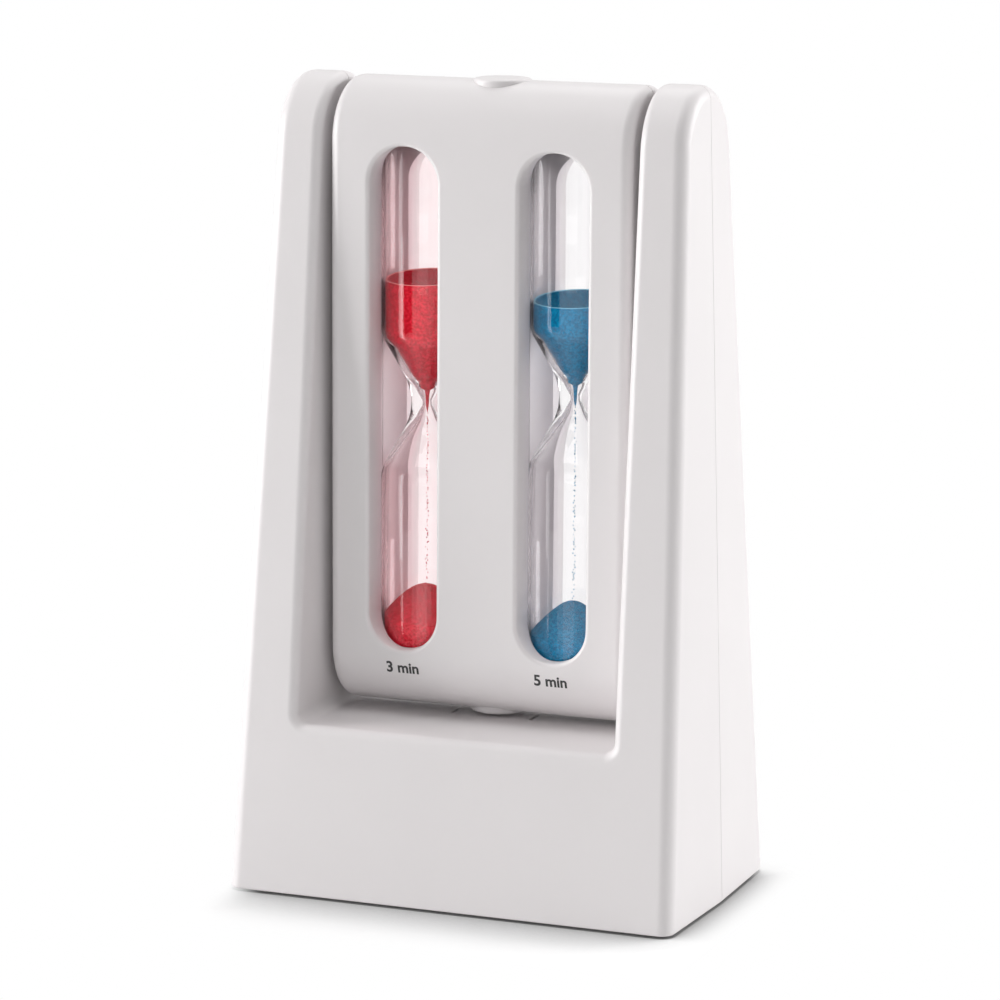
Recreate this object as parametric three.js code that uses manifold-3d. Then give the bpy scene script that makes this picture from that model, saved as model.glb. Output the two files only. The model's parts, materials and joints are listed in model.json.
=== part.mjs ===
// Double sand timer: a case with two glass vials flips end over end between the posts of a stand.
// Millimetres, +Z up, front towards -Y, origin on the table under the middle of the stand.
import * as THREE from 'three';
import { mergeVertices } from 'three/addons/utils/BufferGeometryUtils.js';
import Module from 'manifold-3d';

const wasm = await Module();
wasm.setup();

// Clearances
const fitGap = 0.3; // between pieces that seat in one another
const seamGap = 0.3; // parting line between a front shell and a rear shell
const runGap = 0.15; // round a turning pin
const overCut = 2; // how far a cutter reaches past the face that it opens
const edgeCut = 0.5; // the same for the cutter that rounds an edge

// Glass vials
const vialRadius = 8.6;
const vialWall = 1.1;
const vialLength = 98;
const vialEndRadius = 1.6;
const vialInnerEdge = 0.5; // rounding inside the closed end
const vialLipFlat = 0.3; // flat rim of the open end, round the plug
const vialShoulder = 1.4; // rounding where the tube turns into the cone
const coneHeight = 12.7; // from the neck's middle to the corner of tube and cone
const boreConeHeight = 12.1; // the same inside the glass
const neckRadius = 3; // glass at its narrowest
const neckFlare = 0.5; // how far the glass widens to the cone's narrow end
const neckHalfHeight = 3.2; // from the neck's middle to the cone's narrow end
const neckBore = 0.6; // radius of the hole that the sand runs through
const throatFlare = 1.1; // how far that hole widens to the cone's narrow end
const plugThick = 2;
const cushionRadius = 6.4;
const cushionThick = 2.4;
const cushionEdge = 0.6;

// Sand
const redNeck = -1.8; // height of the vial's neck from the middle of the case
const blueNeck = 1;
const redFill = 23.6; // sand still to run, up from the neck
const blueFill = 18.3;
const redHeapEdge = 5.3; // edge of the heap above the plug
const blueHeapEdge = 4;
const redHeapRise = 5.7; // from the heap's edge to its tip
const blueHeapRise = 6.2;
const craterDepth = 2.8; // hollow in the middle of the sand that is running out
const heapCrownRadius = 1.5; // blunt tip of the heap
const heapCrownDrop = 0.7;
const vials = [
  {
    name: '3min',
    side: -1,
    sand: 'red',
    neck: redNeck,
    fill: redFill,
    heapEdge: redHeapEdge,
    heapRise: redHeapRise,
  },
  {
    name: '5min',
    side: 1,
    sand: 'blue',
    neck: blueNeck,
    fill: blueFill,
    heapEdge: blueHeapEdge,
    heapRise: blueHeapRise,
  },
];

// Flip case
const faceCover = 2.95; // case face over a vial's pocket
const endCover = 6.4; // case end beyond a cushion
const sideCover = 4.1; // case side beyond a sleeve, where the pin is seated
const sleeveSpace = 8.3; // between the two sleeves
const caseWall = 2;
const caseEdgeRadius = 2;
const sleeveWall = 1.5; // half tubes inside the case that cradle the vials
const pocketGap = 0.4; // round a vial in its sleeve
const windowLap = 1.9; // vial hidden beyond each side of its window
const windowCover = 2.4; // vial hidden beyond each end of its window
const windowWall = 1.5; // sides of the tunnel from the window to the vial
const windowRim = 0.8; // rounding of the window's edge
const pegRadius = 1.6; // pegs that line up the two case halves
const pegReach = 4; // how far a peg enters the other half
const pegHeight = 30; // above and below the middle of the case
const studRadius = 5.2; // round studs that click in the recess floor
const studProud = 0.5;
const studFlangeStep = 1.2;
const studFlangeThick = 1.2;
const studFlangeDepth = 3.7; // from the case's end down to the flange

// Pivot
const pinRadius = 3;
const pinReach = 5; // length of pin inside a post
const pinChamfer = 0.5;
const collarWidth = 1.6;
const bearingWall = 2.2;

// Stand
const sideGap = 1.2; // between case and post
const endGap = 0.8; // between the case's end and the recess floor
const floorHeight = 32.35; // recess floor at the parting line
const postFoot = 13.2; // width of a post's front face carried down to the table
const postRise = 0.4; // posts above the case's end
const standDepth = 53;
const standWall = 2.4;
const faceLean = THREE.MathUtils.degToRad(5.73); // front and rear faces
const sideTaper = THREE.MathUtils.degToRad(1.55);
const mouldDraft = THREE.MathUtils.degToRad(1.7); // sides open towards the parting line
const floorDraft = THREE.MathUtils.degToRad(1);
const standEdgeRadius = 2.6;
const recessEdgeRadius = 1.7;
const recessCornerRadius = 2;
const tongueWidth = 15.6; // springy tongue under the case
const tongueLength = 4.2;
const tongueSlot = 0.7;

// Base plate, feet and screws
const plateThick = 2;
const plateLip = 1.2; // rim of the stand below the plate
const plateGroove = 1; // how far the plate's edge enters the wall
const padRadius = 5;
const padProud = 0.4;
const padChamfer = 0.2;
const padInset = 7; // from the plate's edge to a pad's edge
const screwRadius = 1.3;
const screwLength = 13;
const screwPoint = 0.65; // radius of the blunt tip
const screwHeadRadius = 2.5;
const screwHeadHeight = 1.8;
const screwHeadRim = 0.7; // straight part of the head
const screwCrownRadius = 1.75;
const screwSeat = 5; // from the parting line back to the underside of a head
const screwHeadGap = 0.4;
const screwSlotLength = 3;
const screwSlotWidth = 0.7;
const screwSlotDepth = 0.9;
const bossWall = 1.3;
const lowScrewHeight = 16;
const highScrewBelowTop = 28;

// Facets
const roundSteps = 24;
const smallSteps = 12;
const archSteps = 8;
const edgeSteps = 3;

// Sizes that follow from the ones above
const bore = vialRadius - vialWall;
const vialEnd = vialLength / 2;
const pocketRadius = vialRadius + pocketGap;
const sleeveRadius = pocketRadius + sleeveWall;
const vialX = sleeveRadius + sleeveSpace / 2;
const windowHalf = vialRadius - windowLap;
const windowEnd = vialEnd - windowCover;
const caseHalf = vialX + sleeveRadius + sideCover;
const endRadius = pocketRadius + faceCover;
const pocketEnd = vialEnd + fitGap;
const cushionEnd = pocketEnd + cushionThick + fitGap;
const caseEnd = cushionEnd + endCover;
const recessHalf = caseHalf + sideGap;
const pivotHeight = floorHeight + endGap + caseEnd;
const standBottom = padProud;
const standTop = pivotHeight + caseEnd + postRise;
const footHalf = recessHalf + postFoot;
const halfDepth = (z) => standDepth / 2 - Math.tan(faceLean) * (z - standBottom);
const archSlope = Math.cos(faceLean) - Math.tan(faceLean) * (1 - Math.sin(faceLean));
const archRadius = halfDepth(standTop) / archSlope;
const archHeight = standTop - archRadius;
const grooveLow = standBottom + plateLip;
const plateLow = grooveLow + fitGap;
const plateHigh = plateLow + plateThick;
const plateInset = standWall - plateGroove + fitGap;
const studTop = caseEnd + studProud;
const studFlange = caseEnd - studFlangeDepth;
const studFlangeRadius = studRadius + studFlangeStep;
const pinStart = vialX + sleeveRadius + fitGap;
const pinEnd = recessHalf + pinReach;

// Half width of the stand at a point of its front half, where y runs from the front face up to 0
function standSide(y, z) {
  return footHalf - Math.tan(sideTaper) * (z - standBottom) + Math.tan(mouldDraft) * (halfDepth(z) + y);
}

// Geometry tools
function bodyOf(positions, triangles) {
  let volume = 0;
  const corner = (i) => new THREE.Vector3(...positions[i]);
  for (const [a, b, c] of triangles) {
    volume += corner(a).dot(corner(b).cross(corner(c)));
  }
  const facing = volume > 0 ? triangles : triangles.map(([a, b, c]) => [a, c, b]);
  const geometry = new THREE.BufferGeometry();
  geometry.setAttribute('position', new THREE.Float32BufferAttribute(positions.flat(), 3));
  geometry.setIndex(facing.flat());
  return geometry;
}

// Closed body through a row of rings that have the same number of points
function loft(rings, flatten) {
  const count = rings[0].length;
  const triangles = [];
  for (let r = 0; r < rings.length - 1; r += 1) {
    for (let i = 0; i < count; i += 1) {
      const j = (i + 1) % count;
      const [a, b] = [r * count + i, r * count + j];
      triangles.push([a, b, b + count], [a, b + count, a + count]);
    }
  }
  const cap = (ring, start, reversed) => {
    const outline = ring.map((point) => new THREE.Vector2(...flatten(point)));
    const clockwise = THREE.ShapeUtils.isClockWise(outline);
    for (const triangle of THREE.ShapeUtils.triangulateShape(outline, [])) {
      const same = THREE.ShapeUtils.isClockWise(triangle.map((i) => outline[i])) === clockwise;
      const [a, b, c] = triangle.map((i) => i + start);
      triangles.push(same === reversed ? [a, c, b] : [a, b, c]);
    }
  };
  cap(rings[0], 0, true);
  cap(rings[rings.length - 1], (rings.length - 1) * count, false);
  return bodyOf(rings.flat(), triangles);
}

const flatX = ([, y, z]) => [y, z];
const flatY = ([x, , z]) => [x, z];
const flatZ = ([x, y]) => [x, y];

function solid(geometry) {
  const bare = geometry.clone();
  bare.deleteAttribute('normal');
  bare.deleteAttribute('uv');
  const merged = mergeVertices(bare, 1e-4);
  const index = merged.index.array;
  const kept = [];
  for (let i = 0; i < index.length; i += 3) {
    const [a, b, c] = index.slice(i, i + 3);
    if (a !== b && b !== c && c !== a) {
      kept.push(a, b, c);
    }
  }
  const vertProperties = merged.attributes.position.array;
  return new wasm.Manifold(new wasm.Mesh({ numProp: 3, vertProperties, triVerts: new Uint32Array(kept) }));
}

function geometryOf(body) {
  const { vertProperties, triVerts } = body.getMesh();
  const geometry = new THREE.BufferGeometry();
  geometry.setAttribute('position', new THREE.Float32BufferAttribute(vertProperties, 3));
  geometry.setIndex(Array.from(triVerts));
  return geometry;
}

function box(low, high) {
  const size = high.map((value, i) => value - low[i]);
  const middle = high.map((value, i) => (value + low[i]) / 2);
  return solid(new THREE.BoxGeometry(...size).translate(...middle));
}

function rodX(radius, from, to, y, z, steps = smallSteps) {
  const rod = new THREE.CylinderGeometry(radius, radius, Math.abs(to - from), steps).rotateZ(Math.PI / 2);
  return solid(rod.translate((from + to) / 2, y, z));
}

function rodY(radius, from, to, x, z, steps = smallSteps) {
  const rod = new THREE.CylinderGeometry(radius, radius, Math.abs(to - from), steps);
  return solid(rod.translate(x, (from + to) / 2, z));
}

// Turned body about +Z from [radius, height] pairs
function turned(profile, steps = roundSteps) {
  const points = profile.map(([radius, height]) => new THREE.Vector2(radius, height));
  return new THREE.LatheGeometry(points, steps).rotateX(Math.PI / 2);
}

function rodZ(radius, from, to, x, y, steps = roundSteps) {
  const rod = new THREE.CylinderGeometry(radius, radius, Math.abs(to - from), steps).rotateX(Math.PI / 2);
  return solid(rod.translate(x, y, (from + to) / 2));
}

// Half block between two sides: a [y, z] profile carried across, with its side edges rounded
function roundedHalf(profileAt, sideAt, radius, direction) {
  const rings = [];
  const addRing = (side, angle) => {
    const drop = radius * (1 - Math.sin(angle));
    const inset = radius * (1 - Math.cos(angle));
    rings.push(profileAt(inset).map(([y, z]) => [side * (sideAt(y, z) - drop), y * direction, z]));
  };
  const steps = radius > 0 ? edgeSteps : 0;
  for (let i = steps; i >= 0; i -= 1) {
    addRing(-1, steps ? (Math.PI / 2) * (i / steps) : Math.PI / 2);
  }
  for (let i = 0; i <= steps; i += 1) {
    addRing(1, steps ? (Math.PI / 2) * (i / steps) : Math.PI / 2);
  }
  return solid(loft(rings, flatX));
}

// Side view of the stand's front half: foot, leaning face and round top
function standProfile(inset, bottom, seam) {
  const radius = archRadius - inset;
  const points = [[seam, bottom], [inset / Math.cos(faceLean) - halfDepth(bottom), bottom]];
  const last = Math.acos(-seam / radius);
  for (let i = 0; i <= archSteps; i += 1) {
    const angle = faceLean + (last - faceLean) * (i / archSteps);
    points.push([-radius * Math.cos(angle), archHeight + radius * Math.sin(angle)]);
  }
  return points;
}

// U-shaped recess between the posts, wider and lower towards the front
const recessSide = (y) => recessHalf + Math.tan(mouldDraft) * Math.abs(y);
const recessFloor = (y) => floorHeight - Math.tan(floorDraft) * Math.abs(y);

function recessCorner(side, y, angle, grow) {
  const radius = recessCornerRadius + grow;
  const x = recessSide(y) - recessCornerRadius + radius * Math.cos(angle);
  const z = recessFloor(y) + recessCornerRadius - radius * Math.sin(angle);
  return [side * x, z];
}

function recessCut(grow, direction) {
  const top = standTop + overCut;
  const ringAt = (y) => {
    const corners = [];
    for (let i = 0; i <= edgeSteps; i += 1) {
      corners.push((Math.PI / 2) * (i / edgeSteps));
    }
    const left = corners.map((angle) => recessCorner(-1, y, angle, grow));
    const right = corners.map((angle) => recessCorner(1, y, angle, grow)).reverse();
    const half = recessSide(y) + grow;
    const outline = [[-half, top], ...left, ...right, [half, top]];
    return outline.map(([x, z]) => [x, y * direction, z]);
  };
  return solid(loft([ringAt(overCut), ringAt(-seamGap), ringAt(-standDepth)], flatY));
}

// Waste between a sharp edge and its rounding, swept along the mouth of the recess
function recessRounding(direction) {
  const radius = recessEdgeRadius;
  const section = [[-edgeCut, -edgeCut], [radius, -edgeCut]];
  for (let i = 0; i <= edgeSteps; i += 1) {
    const angle = (Math.PI / 2) * (i / edgeSteps);
    section.push([radius * (1 - Math.sin(angle)), radius * (1 - Math.cos(angle))]);
  }
  section.push([-edgeCut, radius]);
  const stops = [];
  const last = Math.acos(-overCut / archRadius);
  for (let i = archSteps; i >= 0; i -= 1) {
    const angle = faceLean + (last - faceLean) * (i / archSteps);
    const y = -archRadius * Math.cos(angle);
    stops.push({ x: recessSide(y), y, z: archHeight + archRadius * Math.sin(angle), lean: angle, turn: 0 });
  }
  const mouth = -halfDepth(floorHeight);
  for (let i = 0; i <= edgeSteps; i += 1) {
    const turn = (Math.PI / 2) * (i / edgeSteps);
    const [x, z] = recessCorner(1, mouth, turn, 0);
    stops.push({ x, y: -halfDepth(z), z, lean: faceLean, turn });
  }
  const ringAt = ({ x, y, z, lean, turn }, side) => section.map(([depth, out]) => [
    side * (x + out * Math.cos(turn)),
    (y + depth * Math.cos(lean)) * direction,
    z - depth * Math.sin(lean) - out * Math.sin(turn),
  ]);
  const right = stops.map((stop) => ringAt(stop, 1));
  const left = stops.map((stop) => ringAt(stop, -1)).reverse();
  return solid(loft([...right, ...left], flatY));
}

// Flat slab that follows the inside of the stand's half at one height
function standSlab(inset, low, high, direction) {
  const front = inset / Math.cos(faceLean) - halfDepth(low);
  const ringAt = (z) => {
    const at = (side, y) => [side * (standSide(y, low) - inset), y * direction, z];
    return [at(-1, overCut), at(-1, front), at(1, front), at(1, overCut)];
  };
  return solid(loft([ringAt(low), ringAt(high)], flatZ));
}

// Screws run from the rear shell into the front shell through the middle of a post
const screwHeights = [lowScrewHeight, standTop - highScrewBelowTop];
const screwX = (z) => (recessHalf + standSide(0, z)) / 2;
const screwPlaces = screwHeights.flatMap((z) => [-1, 1].map((side) => ({ x: side * screwX(z), z })));
const headHole = screwHeadRadius + screwHeadGap;
const screwTip = screwSeat - screwLength;

function standShell(direction) {
  const seam = -seamGap / 2;
  const outer = roundedHalf(
    (inset) => standProfile(inset, standBottom, seam),
    standSide,
    standEdgeRadius,
    direction,
  );
  const hollow = roundedHalf(
    () => standProfile(standWall, standBottom - overCut, overCut),
    (y, z) => standSide(y, z) - standWall,
    0,
    direction,
  );
  let shell = outer.subtract(hollow.subtract(recessCut(standWall, direction)));
  const rear = direction < 0;
  for (const { x, z } of screwPlaces) {
    const radius = (rear ? headHole : screwRadius) + bossWall;
    shell = shell.add(rodY(radius, 0, -direction * standDepth, x, z).intersect(outer));
  }
  const bearing = pinRadius + runGap;
  for (const side of [-1, 1]) {
    const boss = rodX(bearing + bearingWall, side * recessHalf, side * (pinEnd + fitGap), 0, pivotHeight);
    shell = shell.add(boss.intersect(outer));
  }
  shell = shell.subtract(recessCut(0, direction)).subtract(recessRounding(direction));
  shell = shell.subtract(standSlab(standWall - plateGroove, grooveLow, plateHigh + fitGap, direction));
  for (const side of [-1, 1]) {
    const hole = rodX(bearing, side * (recessHalf - overCut), side * (pinEnd + fitGap), 0, pivotHeight);
    shell = shell.subtract(hole);
    const slotX = side * (tongueWidth / 2);
    const ends = [-tongueLength * direction, overCut * direction].sort((a, b) => a - b);
    const low = [slotX - tongueSlot / 2, ends[0], floorHeight - standWall - overCut];
    shell = shell.subtract(box(low, [slotX + tongueSlot / 2, ends[1], floorHeight + overCut]));
  }
  for (const { x, z } of screwPlaces) {
    if (rear) {
      shell = shell.subtract(rodY(headHole, screwSeat - fitGap, standDepth, x, z));
      shell = shell.subtract(rodY(screwRadius + fitGap, -overCut, screwSeat, x, z));
    } else {
      shell = shell.subtract(rodY(screwRadius + fitGap, screwTip - fitGap, overCut, x, z));
    }
  }
  return shell;
}

function basePlate() {
  const front = plateInset / Math.cos(faceLean) - halfDepth(plateLow);
  const edge = standSide(front, plateLow) - plateInset;
  const middle = standSide(0, plateLow) - plateInset;
  const outline = [[-edge, front], [edge, front], [middle, 0], [edge, -front], [-edge, -front], [-middle, 0]];
  const shape = new THREE.Shape(outline.map(([x, y]) => new THREE.Vector2(x, y)));
  const plate = new THREE.ExtrudeGeometry(shape, { depth: plateThick, bevelEnabled: false });
  return plate.translate(0, 0, plateLow);
}

function footPad(x, y) {
  const edge = padRadius - padChamfer;
  const profile = [[0, 0], [edge, 0], [padRadius, padChamfer], [padRadius, plateLow], [0, plateLow]];
  return turned(profile, smallSteps).translate(x, y, 0);
}

// Cross-slotted screw along Y, head to the rear
function shellScrew({ x, z }) {
  const profile = [
    [0, -screwLength],
    [screwPoint, -screwLength],
    [screwRadius, screwRadius - screwLength],
    [screwRadius, 0],
    [screwHeadRadius, 0],
    [screwHeadRadius, screwHeadRim],
    [screwCrownRadius, screwHeadHeight],
    [0, screwHeadHeight],
  ];
  const long = screwSlotLength / 2;
  const wide = screwSlotWidth / 2;
  const low = screwHeadHeight - screwSlotDepth;
  const high = screwHeadHeight + overCut;
  const slot = box([-long, -wide, low], [long, wide, high]);
  const crossSlot = box([-wide, -long, low], [wide, long, high]);
  const screw = geometryOf(solid(turned(profile, smallSteps)).subtract(slot.add(crossSlot)));
  return screw.rotateX(-Math.PI / 2).translate(x, screwSeat, z);
}

// Side view of the case's front half: flat face between two round ends
function caseProfile(inset, seam) {
  const radius = endRadius - inset;
  const straight = caseEnd - endRadius;
  const last = Math.acos(-seam / radius);
  const points = [];
  for (let i = archSteps; i >= 0; i -= 1) {
    const angle = last * (i / archSteps);
    points.push([-radius * Math.cos(angle), -straight - radius * Math.sin(angle)]);
  }
  for (let i = 0; i <= archSteps; i += 1) {
    const angle = last * (i / archSteps);
    points.push([-radius * Math.cos(angle), straight + radius * Math.sin(angle)]);
  }
  return points;
}

// Window with round ends and a rounded rim, cut from the face back to the vial
function windowCut(x, direction) {
  const straight = windowEnd - windowHalf;
  const ringAt = (y, grow) => {
    const radius = windowHalf + grow;
    const ring = [];
    for (const end of [1, -1]) {
      for (let i = 0; i <= archSteps; i += 1) {
        const angle = Math.PI * (i / archSteps);
        const z = straight + radius * Math.sin(angle);
        ring.push([x + end * radius * Math.cos(angle), y * direction, end * z]);
      }
    }
    return ring;
  };
  const rings = [ringAt(-endRadius - overCut, windowRim)];
  for (let i = edgeSteps; i >= 0; i -= 1) {
    const angle = (Math.PI / 2) * (i / edgeSteps);
    rings.push(ringAt(windowRim * (1 - Math.sin(angle)) - endRadius, windowRim * (1 - Math.cos(angle))));
  }
  rings.push(ringAt(-overCut, 0));
  return solid(loft(rings, flatY));
}

function caseShell(direction) {
  const seam = -seamGap / 2;
  const outer = roundedHalf((inset) => caseProfile(inset, seam), () => caseHalf, caseEdgeRadius, direction);
  const hollow = roundedHalf(
    () => caseProfile(caseWall, overCut),
    () => caseHalf - caseWall,
    0,
    direction,
  );
  let shell = outer.subtract(hollow);
  for (const { side } of vials) {
    const x = side * vialX;
    const wide = windowHalf + windowWall;
    const long = windowEnd + windowWall;
    const tunnel = box([x - wide, -endRadius, -long], [x + wide, endRadius, long]);
    const sleeve = rodZ(sleeveRadius, -caseEnd, caseEnd, x, 0).add(tunnel);
    const seat = rodX(pinRadius + bearingWall, x, side * caseHalf, 0, 0);
    shell = shell.add(sleeve.add(seat).intersect(outer));
  }
  const studBoss = studFlangeRadius + fitGap + bossWall;
  const studFloor = studFlange - studFlangeThick - fitGap;
  for (const end of [-1, 1]) {
    const boss = rodZ(studBoss, end * (studFloor - caseWall), end * caseEnd, 0, 0);
    shell = shell.add(boss.intersect(outer));
  }
  const rear = direction < 0;
  for (const z of [-pegHeight, pegHeight]) {
    const radius = rear ? pegRadius + fitGap + bossWall : pegRadius + bossWall;
    shell = shell.add(rodY(radius, 0, -direction * endRadius, 0, z).intersect(outer));
    shell = rear
      ? shell.subtract(rodY(pegRadius + fitGap, -overCut, pegReach + fitGap, 0, z))
      : shell.add(rodY(pegRadius, -overCut, pegReach, 0, z));
  }
  for (const { side } of vials) {
    const x = side * vialX;
    shell = shell.subtract(rodZ(pocketRadius, -pocketEnd, pocketEnd, x, 0));
    shell = shell.subtract(rodZ(cushionRadius + fitGap, -cushionEnd, cushionEnd, x, 0));
    shell = shell.subtract(windowCut(x, direction));
    const pinHole = rodX(pinRadius + runGap, side * (pinStart - fitGap), side * (caseHalf + overCut), 0, 0);
    shell = shell.subtract(pinHole);
  }
  for (const end of [-1, 1]) {
    const studHole = rodZ(studRadius + fitGap, end * studFlange, end * (caseEnd + overCut), 0, 0);
    const flangeHole = rodZ(studFlangeRadius + fitGap, end * studFloor, end * (studFlange + fitGap), 0, 0);
    shell = shell.subtract(studHole).subtract(flangeHole);
  }
  return geometryOf(shell).translate(0, 0, pivotHeight);
}

// Stud whose crown follows the circle that the case's end sweeps
function endStud(end) {
  const profile = [
    [0, studFlange - studFlangeThick],
    [studFlangeRadius, studFlange - studFlangeThick],
    [studFlangeRadius, studFlange],
    [studRadius, studFlange],
  ];
  for (let i = edgeSteps; i >= 0; i -= 1) {
    const radius = studRadius * (i / edgeSteps);
    profile.push([radius, Math.sqrt(studTop ** 2 - radius ** 2)]);
  }
  const stud = turned(profile);
  return (end > 0 ? stud : stud.rotateX(Math.PI)).translate(0, 0, pivotHeight);
}

// Pin fixed in the case, with a collar that keeps the case off the post
function pivotPin(side) {
  const collar = [caseHalf + fitGap, recessHalf - fitGap];
  const collarRadius = pinRadius + collarWidth;
  const profile = [
    [0, pinStart],
    [pinRadius, pinStart],
    [pinRadius, collar[0]],
    [collarRadius, collar[0]],
    [collarRadius, collar[1]],
    [pinRadius, collar[1]],
    [pinRadius, pinEnd - pinChamfer],
    [pinRadius - pinChamfer, pinEnd],
    [0, pinEnd],
  ];
  const pin = turned(profile, smallSteps).rotateY((side * Math.PI) / 2);
  return pin.translate(0, 0, pivotHeight);
}

// Half of the hourglass outline, from the tube down to the neck's middle: round shoulder, then a cone
function waistHalf(tube, corner, waist, flare) {
  const top = new THREE.Vector2(tube, corner + vialShoulder);
  const bend = new THREE.Vector2(tube, corner);
  const foot = new THREE.Vector2(waist + flare, neckHalfHeight);
  const start = foot.clone().sub(bend).setLength(vialShoulder).add(bend);
  const shoulder = new THREE.QuadraticBezierCurve(top, bend, start).getPoints(edgeSteps);
  return [...shoulder, foot].map(({ x, y }) => [x, y]).concat([[waist, 0]]);
}

const glassWaist = waistHalf(vialRadius, coneHeight, neckRadius, neckFlare);
const boreWaist = waistHalf(bore, boreConeHeight, neckBore, throatFlare);

// The whole outline round a vial's neck, from above it down
function waistProfile(half, neck) {
  const lower = half.slice(0, -1).map(([radius, height]) => [radius, -height]).reverse();
  return [...half, ...lower].map(([radius, height]) => [radius, height + neck]);
}

function vialGlass({ side, neck }) {
  const outerWaist = waistProfile(glassWaist, neck);
  const innerWaist = waistProfile(boreWaist, neck).reverse();
  const profile = [
    [0, vialEnd],
    [vialRadius - vialEndRadius, vialEnd],
    [vialRadius, vialEnd - vialEndRadius],
    ...outerWaist,
    [vialRadius, vialEndRadius - vialEnd],
    [bore + vialLipFlat, -vialEnd],
    [bore, -vialEnd],
    ...innerWaist,
    [bore, vialEnd - vialWall - vialInnerEdge],
    [bore - vialInnerEdge, vialEnd - vialWall],
    [0, vialEnd - vialWall],
  ];
  return turned(profile.reverse()).translate(side * vialX, 0, pivotHeight);
}

function vialPlug({ side }) {
  const radius = bore - fitGap;
  const top = plugThick - vialEnd;
  const profile = [[0, -vialEnd], [radius, -vialEnd], [radius, top], [0, top]];
  return turned(profile).translate(side * vialX, 0, pivotHeight);
}

function vialCushion({ side }, end) {
  const far = pocketEnd + cushionThick;
  const profile = [
    [0, pocketEnd],
    [cushionRadius - cushionEdge, pocketEnd],
    [cushionRadius, pocketEnd + cushionEdge],
    [cushionRadius, far - cushionEdge],
    [cushionRadius - cushionEdge, far],
    [0, far],
  ];
  const cushion = turned(profile, smallSteps);
  return (end > 0 ? cushion : cushion.rotateX(Math.PI)).translate(side * vialX, 0, pivotHeight);
}

// Sand still to run: fills the cone above the neck, with a hollow in its top
function upperSand({ side, neck, fill }) {
  const top = neck + fill;
  const cone = boreWaist.slice(0, -1).reverse();
  const flank = cone.map(([radius, height]) => [radius - fitGap, neck + height + fitGap]);
  const profile = [[0, flank[0][1]], ...flank, [bore - fitGap, top], [0, top - craterDepth]];
  return turned(profile).translate(side * vialX, 0, pivotHeight);
}

// Sand that has run: a heap on the plug
function lowerSand({ side, heapEdge, heapRise }) {
  const bottom = plugThick - vialEnd + fitGap;
  const edge = bottom + heapEdge;
  const peak = edge + heapRise;
  const radius = bore - fitGap;
  const crown = [heapCrownRadius, peak - heapCrownDrop];
  const profile = [[0, bottom], [radius, bottom], [radius, edge], crown, [0, peak]];
  return turned(profile).translate(side * vialX, 0, pivotHeight);
}

// Assembly
const timer = new THREE.Group();

function addPart(name, shape, color, roughness, metalness = 0) {
  const geometry = shape.isBufferGeometry ? shape : geometryOf(shape);
  const material = new THREE.MeshStandardMaterial({ color, roughness, metalness });
  const mesh = new THREE.Mesh(geometry, material);
  mesh.name = name;
  timer.add(mesh);
  return mesh;
}

const white = '#dcd8d6';
const front = 1;
const back = -1;

addPart('stand_front_shell', standShell(front), white, 0.45);
addPart('stand_rear_shell', standShell(back), white, 0.45);
addPart('base_plate', basePlate(), '#cfcbc9', 0.6);

screwPlaces.forEach((place, i) => {
  addPart(`shell_screw_${i + 1}`, shellScrew(place), '#a8aaad', 0.35, 1);
});

const padY = -(halfDepth(plateLow) - plateInset - padInset - padRadius);
const padX = standSide(padY, plateLow) - plateInset - padInset - padRadius;
[[-1, 1], [1, 1], [-1, -1], [1, -1]].forEach(([across, along], i) => {
  addPart(`foot_pad_${i + 1}`, footPad(across * padX, along * padY), '#4a4a4c', 0.9);
});

addPart('case_front_shell', caseShell(front), white, 0.45);
addPart('case_rear_shell', caseShell(back), white, 0.45);
addPart('end_stud_upper', endStud(1), white, 0.4);
addPart('end_stud_lower', endStud(-1), white, 0.4);
addPart('pivot_pin_left', pivotPin(-1), '#d9d6d2', 0.35);
addPart('pivot_pin_right', pivotPin(1), '#d9d6d2', 0.35);

const sandColors = { red: '#b8323c', blue: '#1f7fa8' };
for (const vial of vials) {
  const { name, sand } = vial;
  const glass = addPart(`vial_${name}`, vialGlass(vial), '#f4f8f7', 0.03);
  glass.material.transparent = true;
  glass.material.opacity = 0.35;
  addPart(`vial_plug_${name}`, vialPlug(vial), '#e8e4de', 0.7);
  addPart(`vial_cushion_${name}_upper`, vialCushion(vial, 1), '#8d8d90', 0.95);
  addPart(`vial_cushion_${name}_lower`, vialCushion(vial, -1), '#8d8d90', 0.95);
  addPart(`${sand}_sand_upper`, upperSand(vial), sandColors[sand], 0.9);
  addPart(`${sand}_sand_lower`, lowerSand(vial), sandColors[sand], 0.9);
}

export default timer;
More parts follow.
